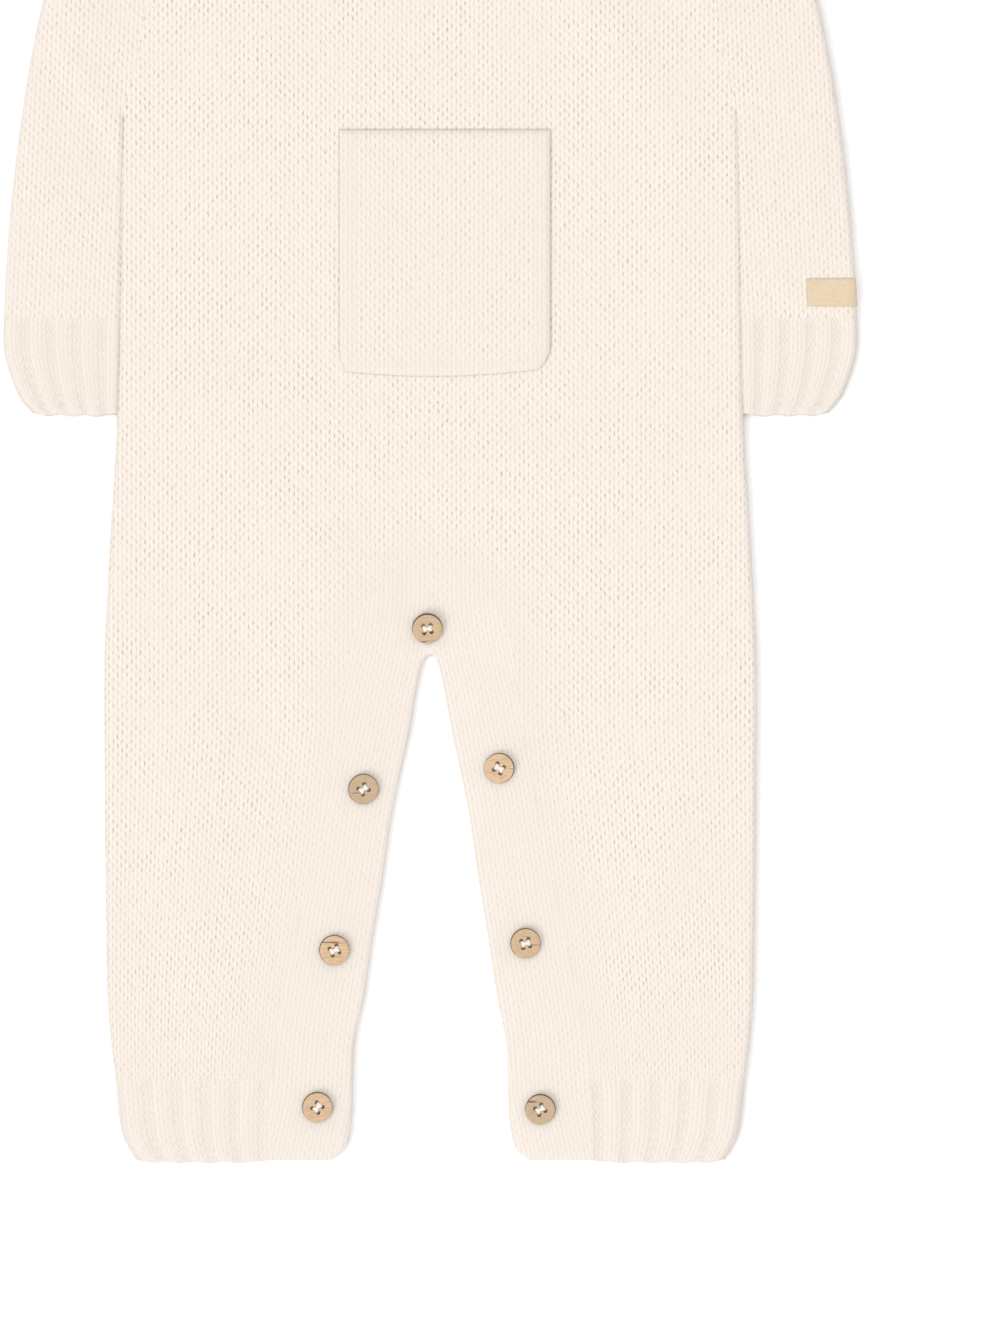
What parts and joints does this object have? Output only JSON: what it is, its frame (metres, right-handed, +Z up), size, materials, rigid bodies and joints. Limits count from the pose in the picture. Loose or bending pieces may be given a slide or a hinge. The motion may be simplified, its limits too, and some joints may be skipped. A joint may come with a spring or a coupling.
{
  "type": "baby romper",
  "caption": "Cream knitted baby romper laid flat: long sleeves, ribbed cuffs, chest patch pocket, and a button band with four-hole buttons along both inner legs",
  "frame": {"origin": "Middle of the laid garment's box, on the surface it lies on", "axes": "+X towards the sleeve with the label, +Y towards the neck, +Z up from the surface"},
  "size_m": [0.3928, 0.6256, 0.0112],
  "materials": {
    "knit": "chunky cream stockinette, soft matt",
    "band": "close cream knit band, soft matt",
    "rib": "cream broad rib knit, soft matt",
    "pocket": "cream stockinette patch with a plain border",
    "button": "turned light wood, oiled, darker edge",
    "label": "thin bare beige tab, matt"
  },
  "bodies": {
    "root": {"front": "knit", "back": "knit", "button_band_front": "band", "button_band_back": "band", "leg_cuff_left": "rib", "leg_cuff_right": "rib", "sleeve_left": "knit", "sleeve_right": "knit", "sleeve_cuff_left": "rib", "sleeve_cuff_right": "rib", "neckband": "rib", "pocket": "pocket", "label": "label", "button_1": "button", "button_2": "button", "button_3": "button", "button_4": "button", "button_5": "button", "button_6": "button", "button_7": "button"}
  },
  "joints": []
}
